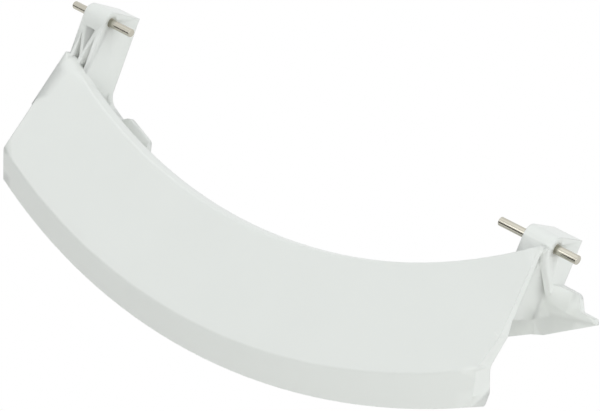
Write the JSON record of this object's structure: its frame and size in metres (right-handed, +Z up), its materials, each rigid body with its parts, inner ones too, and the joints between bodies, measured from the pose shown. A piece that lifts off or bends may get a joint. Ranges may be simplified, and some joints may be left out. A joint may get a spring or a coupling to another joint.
{
  "type": "washing machine door handle",
  "caption": "White moulded crescent door handle for a front-loading washing machine, with two pivot arms, a rear rail and a steel pivot pin through each arm.",
  "frame": {"origin": "midway between the two pins, on their common axis", "axes": "+X along the pins, from the left arm to the right arm seen from the front; +Z up with the door shut; the grip faces -Y"},
  "size_m": [0.2314, 0.0354, 0.0875],
  "materials": {
    "moulding": "injection moulded, semi-gloss, off-white",
    "pin_steel": "drawn and ground bright bar"
  },
  "bodies": {
    "root": {"handle": "moulding", "left_pin": "pin_steel", "right_pin": "pin_steel"}
  },
  "joints": []
}
